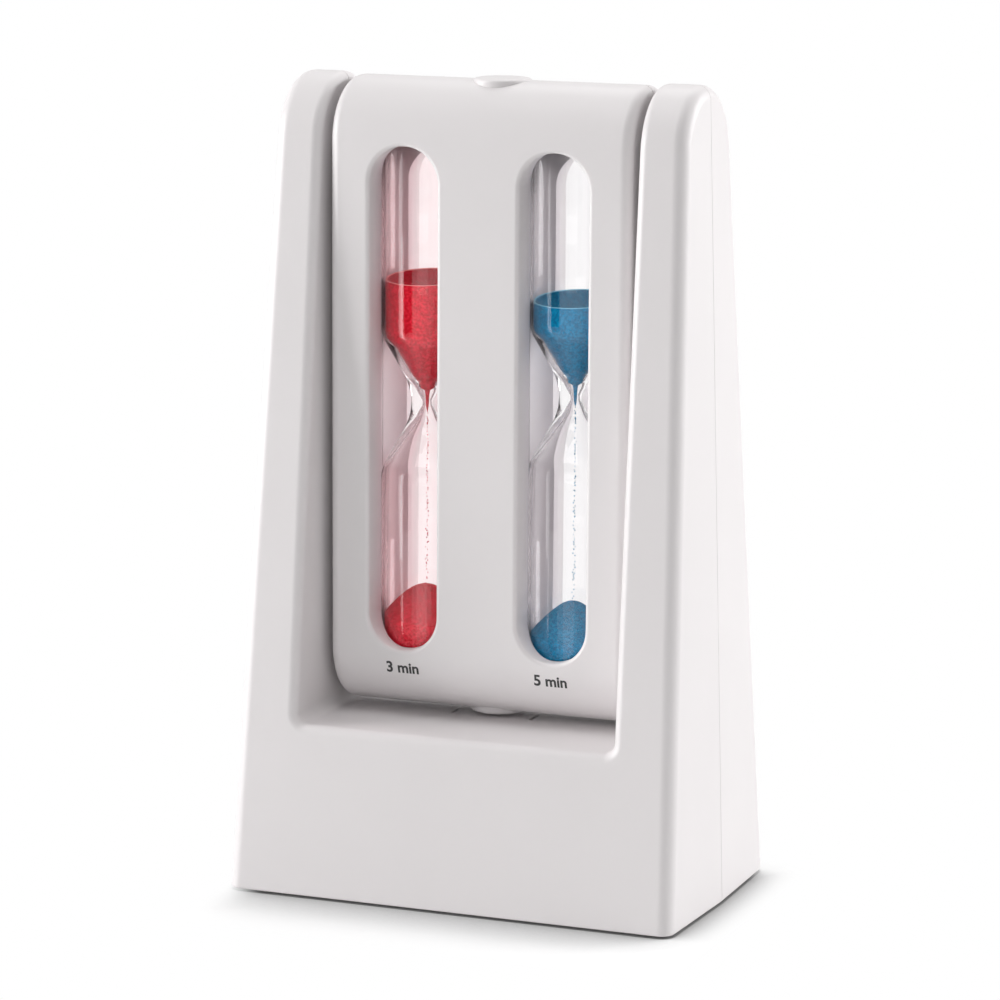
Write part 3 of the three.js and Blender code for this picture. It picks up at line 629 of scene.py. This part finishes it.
def printedLabel(timer, sizes):
    only(None)
    bpy.ops.object.text_add(location=(0, 0, 0))
    text = bpy.context.object
    text.data.body = timer["label"]
    text.data.size = sizes["height"] * mm
    text.data.align_x, text.data.align_y = "CENTER", "CENTER"
    text.data.extrude = sizes["reach"] * mm
    bpy.ops.object.convert(target="MESH")
    x, y = timer["middle"], -caseSizes["thickHalf"]
    label = placed(bpy.context.object, (90, 0, 0), (x, y, pivot + sizes["middle"]))
    tidied(label, sizes["merge"])
    openMesh(label, "VERT")
    bpy.ops.mesh.select_all(action="SELECT")
    bpy.ops.transform.shrink_fatten(value=sizes["weight"] * mm, use_even_offset=True)

    # the ink is a thin skin on the round end of the case
    bend = caseSizes["thickHalf"] - caseSizes["seam"] - caseSizes["crest"]
    height = pivot + bend - caseSizes["end"]
    start, stop = [(x + i * sizes["halfWidth"], y + bend, height) for i in (-1, 1)]
    skin = rod("skin", bend + sizes["ink"] / 2, start, stop, sides=sizes["sides"])
    applied(label, "BOOLEAN", object=skin, operation="INTERSECT", solver="EXACT", use_self=True)
    bpy.data.objects.remove(skin, do_unlink=True)
    cutAway(label, rod("core", bend - sizes["ink"] / 2, start, stop, sides=sizes["sides"]))
    tidied(label, sizes["merge"])
    label.name = "label_" + timer["name"] + "_front"
    only(label)
    bpy.ops.object.duplicate()
    other = bpy.context.object
    other.name = "label_" + timer["name"] + "_rear"
    return [label, placed(other, (180, 0, 0), (0, 0, 2 * pivot))]


labels = [label for timer in timers for label in printedLabel(timer, labelSizes)]
print("labels:", [len(label.data.polygons) for label in labels], "faces")

# finishes

def newMaterial(name):
    material = bpy.data.materials.new(name)
    material.use_nodes = True
    return material, material.node_tree, material.node_tree.nodes["Principled BSDF"]


def preset(node, values):
    for key, value in values.items():
        node.inputs[key].default_value = value


def addNode(tree, kind, values=None, **settings):
    node = tree.nodes.new("ShaderNode" + kind)
    for key, value in settings.items():
        setattr(node, key, value)
    preset(node, values or {})
    return node


def link(start, end):
    end.id_data.links.new(start, end)


def newGroup(name, inputs, outputs):
    group = bpy.data.node_groups.new(name, "ShaderNodeTree")
    for socket, kind in inputs:
        group.interface.new_socket(socket, in_out="INPUT", socket_type="NodeSocket" + kind)
    for socket, kind in outputs:
        group.interface.new_socket(socket, in_out="OUTPUT", socket_type="NodeSocket" + kind)
    return group, group.nodes.new("NodeGroupInput"), group.nodes.new("NodeGroupOutput")


def mouldGrainGroup():  # fine grain of a moulding with a slow drift of its shade
    group, given, result = newGroup(
        "mouldGrain",
        [("Place", "Vector"), ("Colour", "Color"), ("Grain", "Float"), ("Drift", "Float"),
         ("Shade", "Float"), ("Rough", "Float"), ("Rough Range", "Float")],
        [("Colour", "Color"), ("Roughness", "Float"), ("Height", "Float")])
    fine = addNode(group, "TexNoise", {"Detail": 3})
    slow = addNode(group, "TexNoise", {"Detail": 2})
    tone = addNode(group, "MapRange", {"From Min": 0.25, "From Max": 0.75})
    lower = addNode(group, "Math", {0: 1}, operation="SUBTRACT")
    shaded = addNode(group, "HueSaturation")
    offset = addNode(group, "Math", {1: 0.5}, operation="SUBTRACT")
    rough = addNode(group, "Math", operation="MULTIPLY_ADD")
    for texture, key in ((fine, "Grain"), (slow, "Drift")):
        link(given.outputs["Place"], texture.inputs["Vector"])
        link(given.outputs[key], texture.inputs["Scale"])
    link(given.outputs["Shade"], lower.inputs[1])
    link(slow.outputs["Fac"], tone.inputs["Value"])
    link(lower.outputs[0], tone.inputs["To Min"])
    link(tone.outputs["Result"], shaded.inputs["Value"])
    link(given.outputs["Colour"], shaded.inputs["Color"])
    link(shaded.outputs["Color"], result.inputs["Colour"])
    link(fine.outputs["Fac"], offset.inputs[0])
    link(offset.outputs[0], rough.inputs[0])
    link(given.outputs["Rough Range"], rough.inputs[1])
    link(given.outputs["Rough"], rough.inputs[2])
    link(rough.outputs[0], result.inputs["Roughness"])
    link(fine.outputs["Fac"], result.inputs["Height"])
    return group


def dyedGrainsGroup():  # single grains of dyed sand, each with its own shade, with painted shade on sand that faces upwards and a painted highlight line along the rim
    group, given, result = newGroup(
        "dyedGrains",
        [("Place", "Vector"), ("Facing", "Vector"), ("Deep", "Color"), ("Bright", "Color"),
         ("Rim Highlight", "Color"), ("Grains", "Float"), ("Top Shade", "Float"), ("Rim", "Float"),
         ("Lean", "Float"), ("Line", "Float")],
        [("Colour", "Color"), ("Roughness", "Float"), ("Height", "Float")])
    cells = addNode(group, "TexVoronoi", feature="F1")
    parts = addNode(group, "SeparateColor")
    spread = addNode(group, "MapRange", interpolation_type="SMOOTHSTEP")
    mixed = addNode(group, "Mix", data_type="RGBA")
    axes = addNode(group, "SeparateXYZ")
    # painted shade: sand that faces upwards is darkened, down to the given factor
    topShadeMask = addNode(group, "MapRange", {"From Min": 0.35, "From Max": 0.75, "To Min": 1})
    topShaded = addNode(group, "HueSaturation")
    rough = addNode(group, "Math", {1: 0.25, 2: 0.68}, operation="MULTIPLY_ADD")
    raised = addNode(group, "Math", {0: 1}, operation="SUBTRACT")
    spot = addNode(group, "SeparateXYZ")  # painted highlight: pale line where the upper sand meets the glass
    slope = addNode(group, "Math", operation="MULTIPLY")
    level = addNode(group, "Math", operation="SUBTRACT")
    along = addNode(group, "Math", operation="COMPARE")
    rimHighlighted = addNode(group, "Mix", data_type="RGBA")
    link(given.outputs["Place"], cells.inputs["Vector"])
    link(given.outputs["Grains"], cells.inputs["Scale"])
    link(cells.outputs["Color"], parts.inputs["Color"])
    link(parts.outputs["Red"], spread.inputs["Value"])
    link(spread.outputs["Result"], mixed.inputs["Factor"])
    link(given.outputs["Deep"], mixed.inputs["A"])
    link(given.outputs["Bright"], mixed.inputs["B"])
    link(given.outputs["Facing"], axes.inputs["Vector"])
    link(axes.outputs["Z"], topShadeMask.inputs["Value"])
    link(given.outputs["Top Shade"], topShadeMask.inputs["To Max"])
    link(topShadeMask.outputs["Result"], topShaded.inputs["Value"])
    link(mixed.outputs["Result"], topShaded.inputs["Color"])
    link(given.outputs["Place"], spot.inputs["Vector"])
    link(spot.outputs["Y"], slope.inputs[0])
    link(given.outputs["Lean"], slope.inputs[1])
    link(spot.outputs["Z"], level.inputs[0])
    link(slope.outputs[0], level.inputs[1])
    link(level.outputs[0], along.inputs[0])
    link(given.outputs["Rim"], along.inputs[1])
    link(given.outputs["Line"], along.inputs[2])
    link(along.outputs[0], rimHighlighted.inputs["Factor"])
    link(topShaded.outputs["Color"], rimHighlighted.inputs["A"])
    link(given.outputs["Rim Highlight"], rimHighlighted.inputs["B"])
    link(rimHighlighted.outputs["Result"], result.inputs["Colour"])
    link(parts.outputs["Green"], rough.inputs[0])
    link(rough.outputs[0], result.inputs["Roughness"])
    link(cells.outputs["Distance"], raised.inputs[1])
    link(raised.outputs[0], result.inputs["Height"])
    return group


# painted light bounced from the sand: the plastic inside the windows takes up the hue of the sand beside
# it
def paintedBounceGroup(sizes):
    group, given, result = newGroup(
        "paintedBounce",
        [("Place", "Vector"), ("Outside", "Color"), ("Left", "Color"), ("Right", "Color")],
        [("Colour", "Color")])
    axes = addNode(group, "SeparateXYZ")
    link(given.outputs["Place"], axes.inputs["Vector"])
    inside = None
    for axis, middle, reach in (("X", sizes["vialX"], sizes["bounceHalf"]),
                                ("Y", 0, sizes["thickHalf"] - sizes["windowRim"]),
                                ("Z", 0, sizes["bounceEnd"])):
        size = axes.outputs[axis]
        if axis == "Z":
            height = addNode(group, "Math", {1: pivot * mm}, operation="SUBTRACT")
            link(size, height.inputs[0])
            size = height.outputs[0]
        distance = addNode(group, "Math", operation="ABSOLUTE")
        link(size, distance.inputs[0])
        if axis == "Y":  # the hue fades towards the face
            fade = {"From Min": reach * mm, "From Max": sizes["bounceDepth"] * mm}
            near = addNode(group, "MapRange", fade, interpolation_type="SMOOTHSTEP")
        else:
            near = addNode(group, "Math", {1: middle * mm, 2: reach * mm}, operation="COMPARE")
        link(distance.outputs[0], near.inputs[0])
        if inside:
            both = addNode(group, "Math", operation="MULTIPLY")
            link(inside, both.inputs[0])
            link(near.outputs[0], both.inputs[1])
            near = both
        inside = near.outputs[0]
    right = addNode(group, "Math", {1: 0}, operation="GREATER_THAN")
    bounceTint = addNode(group, "Mix", data_type="RGBA")
    whole = addNode(group, "Mix", data_type="RGBA")
    link(axes.outputs["X"], right.inputs[0])
    link(right.outputs[0], bounceTint.inputs["Factor"])
    link(given.outputs["Left"], bounceTint.inputs["A"])
    link(given.outputs["Right"], bounceTint.inputs["B"])
    link(inside, whole.inputs["Factor"])
    link(given.outputs["Outside"], whole.inputs["A"])
    link(bounceTint.outputs["Result"], whole.inputs["B"])
    link(whole.outputs["Result"], result.inputs["Colour"])
    return group


mouldGrain = mouldGrainGroup()
dyedGrains = dyedGrainsGroup()
paintedBounce = paintedBounceGroup(caseSizes)


# a finish whose detail comes from one of the groups
def grained(name, group, values, bump, reach, **plain):
    material, tree, shader = newMaterial(name)
    place = addNode(tree, "TexCoord")
    detail = addNode(tree, "Group", values, node_tree=group)
    link(place.outputs["Object"], detail.inputs["Place"])
    if "Facing" in detail.inputs:
        link(place.outputs["Normal"], detail.inputs["Facing"])
    relief = addNode(tree, "Bump", {"Strength": bump, "Distance": reach * mm})
    link(detail.outputs["Height"], relief.inputs["Height"])
    link(detail.outputs["Colour"], shader.inputs["Base Color"])
    link(detail.outputs["Roughness"], shader.inputs["Roughness"])
    link(relief.outputs["Normal"], shader.inputs["Normal"])
    preset(shader, plain)
    return material


def moulding(name, color, rough, bump=0.06, grain=2600, drift=45, shade=0.02, roughRange=0.12, **plain):
    values = {"Colour": (*color, 1), "Grain": grain, "Drift": drift, "Shade": shade, "Rough": rough,
              "Rough Range": roughRange}
    return grained(name, mouldGrain, values, bump, reach=0.1, **plain)


# plastic with painted light bounced from the sand inside the windows
def bounceLitMoulding(name, outside, left, right, rough):
    material = moulding(name, outside, rough)
    tree = material.node_tree
    place = addNode(tree, "TexCoord")
    values = {"Outside": (*outside, 1), "Left": (*left, 1), "Right": (*right, 1)}
    bounceTint = addNode(tree, "Group", values, node_tree=paintedBounce)
    link(place.outputs["Object"], bounceTint.inputs["Place"])
    link(bounceTint.outputs["Colour"], tree.nodes["Group"].inputs["Colour"])
    return material


def drySand(name, timer, deep, bright, rimHighlight):
    rim = pivot + timer["neck"] + timer["fill"]
    values = {"Deep": (*deep, 1), "Bright": (*bright, 1), "Rim Highlight": (*rimHighlight, 1),
              # painted shade: the factor after Grains darkens the top-facing sand
              "Grains": 3600, "Top Shade": 0.74,
              "Rim": rim * mm, "Lean": sandSizes["lean"][1], "Line": sandSizes["line"] * mm}
    return grained(name, dyedGrains, values, bump=0.5, reach=0.12, **{"Specular IOR Level": 0.1})


def dustyGlass(name, clean, dusty):  # drawn tube, with a breath of sand dust on it
    material, tree, shader = newMaterial(name)
    preset(shader, {"Transmission Weight": 1, "Roughness": 0.01, "IOR": 1.49})
    place = addNode(tree, "TexCoord")
    drawn = addNode(tree, "Mapping", {"Scale": (1, 1, 0.06)})
    cloud = addNode(tree, "TexNoise", {"Scale": 260})
    wave = addNode(tree, "TexNoise", {"Scale": 420})
    tint = addNode(tree, "Mix", {"A": (*clean, 1), "B": (*dusty, 1)}, data_type="RGBA")
    relief = addNode(tree, "Bump", {"Strength": 0.03, "Distance": 0.1 * mm})
    link(place.outputs["Object"], cloud.inputs["Vector"])
    link(place.outputs["Object"], drawn.inputs["Vector"])
    link(drawn.outputs["Vector"], wave.inputs["Vector"])
    link(cloud.outputs["Fac"], tint.inputs["Factor"])
    link(tint.outputs["Result"], shader.inputs["Base Color"])
    link(wave.outputs["Fac"], relief.inputs["Height"])
    link(relief.outputs["Normal"], shader.inputs["Normal"])
    # light that falls through the vial isn't stopped by it
    clear = addNode(tree, "BsdfTransparent")
    path = addNode(tree, "LightPath")
    both = addNode(tree, "MixShader")
    link(tint.outputs["Result"], clear.inputs["Color"])
    link(path.outputs["Is Shadow Ray"], both.inputs[0])
    link(shader.outputs[0], both.inputs[1])
    link(clear.outputs[0], both.inputs[2])
    link(both.outputs[0], tree.nodes["Material Output"].inputs["Surface"])
    return material


warmWhite, satin = (0.815, 0.784, 0.788), 0.42
whitePlastic = moulding("whitePlastic", warmWhite, satin)
# the case plastic carries painted red and blue light bounced from the sand inside the windows
casePlastic = bounceLitMoulding("casePlastic", warmWhite, (0.92, 0.775, 0.805), (0.91, 0.855, 0.885), satin)
basePlastic = moulding("basePlastic", (0.76, 0.745, 0.735), 0.55, bump=0.1)
pinPlastic = moulding("pinPlastic", (0.8, 0.785, 0.765), 0.32, bump=0.03)
plugPlastic = moulding("plugPlastic", (0.83, 0.81, 0.78), 0.6, bump=0.1)
screwSteel = moulding("screwSteel", (0.6, 0.61, 0.62), 0.3, bump=0.05, drift=900, shade=0.2,
                      roughRange=0.3, Metallic=1)
footRubber = moulding("footRubber", (0.085, 0.085, 0.088), 0.8, bump=0.25, drift=300, shade=0.25)
cushionFoam = moulding("cushionFoam", (0.42, 0.42, 0.43), 0.95, bump=0.6, grain=1500, drift=500,
                       shade=0.2)
printInk = moulding("printInk", (0.045, 0.044, 0.045), 0.5, bump=0.04, drift=1200, shade=0.25)
sandFinish = {
    # the third colour of each sand is its painted highlight along the rim
    "red": drySand("redSand", timers[0], (0.64, 0.003, 0.016), (0.96, 0.021, 0.056), (1, 0.33, 0.33)),
    "blue": drySand("blueSand", timers[1], (0, 0.185, 0.395), (0, 0.335, 0.63), (0.28, 0.7, 0.9)),
}
glassFinish = {
    "red": dustyGlass("glassOfRed", (1, 0.955, 0.958), (1, 0.905, 0.912)),
    "blue": dustyGlass("glassOfBlue", (0.98, 0.972, 0.976), (0.966, 0.955, 0.96)),
}

dress(standFront, whitePlastic, "white_plastic", "stand", "stand_front_shell")
dress(standRear, whitePlastic, "white_plastic", "stand", "stand_rear_shell")
dress(plate, basePlastic, "base_plastic", "stand", "base_plate")
for i, (screw, pad) in enumerate(zip(screws, pads)):
    dress(screw, screwSteel, "screw_steel", "stand", "shell_screw_" + str(i + 1))
    dress(pad, footRubber, "foot_rubber", "stand", "foot_pad_" + str(i + 1))
dress(caseFront, casePlastic, "white_plastic", "flip_case", "case_front_shell")
dress(caseRear, casePlastic, "white_plastic", "flip_case", "case_rear_shell")
for i, (end, side) in enumerate((("upper", "left"), ("lower", "right"))):
    dress(studs[i], whitePlastic, "white_plastic", "flip_case", "end_stud_" + end)
    dress(pins[i], pinPlastic, "pin_plastic", "flip_case", "pivot_pin_" + side)
for timer in timers:
    name, sand = timer["name"], timer["sand"]
    dress(glassPieces[name], glassFinish[sand], "clear_glass", "flip_case", "vial_" + name)
    above, below, stream = sandPieces[sand]
    dress(above, sandFinish[sand], sand + "_sand", "flip_case", sand + "_sand_upper")
    dress(below, sandFinish[sand], sand + "_sand", "flip_case", sand + "_sand_lower")
    dress(stream, sandFinish[sand], sand + "_sand", "flip_case")
    dress(plugs[name], plugPlastic, "plug_plastic", "flip_case", "vial_plug_" + name)
    for end in ("upper", "lower"):
        cushion = name + "_" + end
        dress(cushions[cushion], cushionFoam, "cushion_rubber", "flip_case", "vial_cushion_" + cushion)
for label in labels:
    dress(label, printInk, "print_ink", "flip_case")
print("finishes:", len(bpy.data.materials), "materials")

# room, lamps and camera

def seenRays(tree):  # rays that show a surface: straight to the camera, mirrored, or through glass
    path = addNode(tree, "LightPath")
    seen = path.outputs["Is Camera Ray"]
    for kind in ("Is Glossy Ray", "Is Transmission Ray"):
        more = addNode(tree, "Math", operation="MAXIMUM")
        link(seen, more.inputs[0])
        link(path.outputs[kind], more.inputs[1])
        seen = more.outputs[0]
    return seen


def mirroredRays(tree):  # rays that a shiny surface has mirrored on their way
    path = addNode(tree, "LightPath")
    bounced = addNode(tree, "Math", {1: 0}, operation="GREATER_THAN")
    link(path.outputs["Glossy Depth"], bounced.inputs[0])
    return bounced.outputs[0]


floorSizes = {"side": 4000, "paint": 0.92, "deep": 0.2, "glow": 0.14, "reach": 26,
              "nookFrom": 0.45, "nookTo": 0.97, "nookCurve": 0.66,
              "shadowAt": (3.3, -8.4), "fadeX": (40, 49), "fadeY": (25, 43)}
only(None)
bpy.ops.mesh.primitive_plane_add(size=floorSizes["side"] * mm, location=(0, 0, 0))
floor = bpy.context.object
floor.name = "floor"
floorPaint = bpy.data.materials.new("floorPaint")
floorPaint.use_nodes = True
tree = floorPaint.node_tree
tree.nodes.clear()
matt = addNode(tree, "BsdfDiffuse", {"Color": (*[floorSizes["paint"]] * 3, 1)})
lit = addNode(tree, "BsdfDiffuse")
# deepens the shadow where the stand meets the floor
nook = addNode(tree, "AmbientOcclusion", {"Distance": floorSizes["reach"] * mm}, samples=16)
near = addNode(tree, "MapRange", {"From Min": floorSizes["nookFrom"], "From Max": floorSizes["nookTo"]})
curve = addNode(tree, "Math", {1: floorSizes["nookCurve"]}, operation="POWER")
tone = addNode(tree, "MapRange", {"To Min": floorSizes["deep"]})
glow = addNode(tree, "Emission", {"Strength": floorSizes["glow"]})
toned = addNode(tree, "AddShader")
plainWhite = addNode(tree, "Emission")
place = addNode(tree, "TexCoord")
shadowX, shadowY = floorSizes["shadowAt"]  # the shadow lies a little to the front and right
around = addNode(tree, "Mapping", {"Location": (-shadowX * mm, -shadowY * mm, 0)})
axes = addNode(tree, "SeparateXYZ")
fade = addNode(tree, "Math", operation="MAXIMUM")
for i, axis in enumerate("XY"):
    start, stop = floorSizes["fade" + axis]
    away = addNode(tree, "Math", operation="ABSOLUTE")
    edge = addNode(tree, "MapRange", {"From Min": start * mm, "From Max": stop * mm},
                   interpolation_type="SMOOTHSTEP")
    link(axes.outputs[axis], away.inputs[0])
    link(away.outputs[0], edge.inputs["Value"])
    link(edge.outputs["Result"], fade.inputs[i])
shown = addNode(tree, "MixShader")
whole = addNode(tree, "MixShader")
out = addNode(tree, "OutputMaterial")
link(place.outputs["Object"], around.inputs["Vector"])
link(around.outputs["Vector"], axes.inputs["Vector"])
link(nook.outputs["AO"], near.inputs["Value"])
link(near.outputs["Result"], curve.inputs[0])
link(curve.outputs[0], tone.inputs["Value"])
link(tone.outputs["Result"], lit.inputs["Color"])
link(tone.outputs["Result"], glow.inputs["Color"])
link(lit.outputs[0], toned.inputs[0])
link(glow.outputs[0], toned.inputs[1])
link(fade.outputs[0], shown.inputs[0])
link(toned.outputs[0], shown.inputs[1])
link(plainWhite.outputs[0], shown.inputs[2])
link(seenRays(tree), whole.inputs[0])
link(matt.outputs[0], whole.inputs[1])
link(shown.outputs[0], whole.inputs[2])
link(whole.outputs[0], out.inputs["Surface"])
floor.data.materials.append(floorPaint)
floor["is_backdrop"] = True

roomSizes = {"dim": 0.23, "mirrored": 0.5}
room = bpy.data.worlds.new("room")
bpy.context.scene.world = room
room.use_nodes = True
tree = room.node_tree
tree.nodes.clear()
dim, white, mirrored = [addNode(tree, "Background", {"Color": (1, 1, 1, 1), "Strength": strength})
                        for strength in (roomSizes["dim"], 1, roomSizes["mirrored"])]
shiny = addNode(tree, "MixShader")
whole = addNode(tree, "MixShader")
out = addNode(tree, "OutputWorld")
link(mirroredRays(tree), shiny.inputs[0])
link(white.outputs[0], shiny.inputs[1])
link(mirrored.outputs[0], shiny.inputs[2])
link(seenRays(tree), whole.inputs[0])
link(dim.outputs[0], whole.inputs[1])
link(shiny.outputs[0], whole.inputs[2])
link(whole.outputs[0], out.inputs["Surface"])

# dark card that only reflections show
cardSizes = {"away": 320, "turn": -121.5, "width": 142, "height": 260, "shade": 0.02}
turn = math.radians(cardSizes["turn"])
away, high = cardSizes["away"], cardSizes["height"]
only(None)
bpy.ops.mesh.primitive_plane_add(size=1)
card = bpy.context.object
card.name = "card"
card.scale = (cardSizes["width"] * mm, high * mm, 1)
card.rotation_euler = (math.pi / 2, 0, turn + math.pi / 2)
card.location = Vector((math.cos(turn) * away, math.sin(turn) * away, high / 2)) * mm
settle("card")
cardPaper, tree, shader = newMaterial("cardPaper")
preset(shader, {"Base Color": (*[cardSizes["shade"]] * 3, 1), "Roughness": 1})
clear = addNode(tree, "BsdfTransparent")
both = addNode(tree, "MixShader")
link(mirroredRays(tree), both.inputs[0])
link(clear.outputs[0], both.inputs[1])
link(shader.outputs[0], both.inputs[2])
link(both.outputs[0], tree.nodes["Material Output"].inputs["Surface"])
card.data.materials.append(cardPaper)
card.visible_camera = card.visible_diffuse = card.visible_shadow = False
card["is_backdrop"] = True


def lamp(name, place, aim, size, watts):
    only(None)
    bpy.ops.object.light_add(type="AREA", location=Vector(place) * mm)
    light = bpy.context.object
    light.name = name
    light.data.shape = "RECTANGLE"
    light.data.size, light.data.size_y = size[0] * mm, size[1] * mm
    light.data.energy = watts
    light.rotation_euler = aimed(place, aim)
    return light


lampSizes = [  # place, size and watts
    ("leftLamp", (-950, -350, 260), (400, 500), 7.7),
    ("frontLamp", (150, -1000, 60), (500, 500), 0.8),
    ("topLamp", (0, -150, 1000), (600, 600), 3.2),
    ("rearTopLamp", (-100, 500, 850), (500, 500), 2.2),
    ("rightLamp", (950, 150, 300), (400, 500), 0.9),
    ("rearRightLamp", (700, 600, 350), (500, 500), 5.4),
]
lampAim = (0, 0, 75)
for name, place, size, watts in lampSizes:
    lamp(name, place, lampAim, size, watts)

# seen only as a mirrored strip
streakLamp = lamp("streakLamp", (-175, -137, 62), (-16, -8, 62), (60, 150), 0.09)
streakLamp.visible_diffuse = False
streakLamp.visible_camera = False

cameraSizes = {"place": (294.238, -735.286, 218.098), "aim": (-0.057, 0, 72.331), "roll": 0.328,
               "lens": 156.976, "sensor": 36, "near": 10}
only(None)
bpy.ops.object.camera_add(location=Vector(cameraSizes["place"]) * mm)
camera = bpy.context.object
camera.rotation_euler = aimed(cameraSizes["place"], cameraSizes["aim"])
camera.rotation_euler.rotate_axis("Z", math.radians(cameraSizes["roll"]))
camera.data.sensor_width = cameraSizes["sensor"]
camera.data.lens = cameraSizes["lens"]
camera.data.clip_start = cameraSizes["near"] * mm
bpy.context.scene.camera = camera
bpy.context.scene.view_settings.view_transform = "Standard"
print("room:", len(bpy.data.lights), "lamps")

low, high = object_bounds()
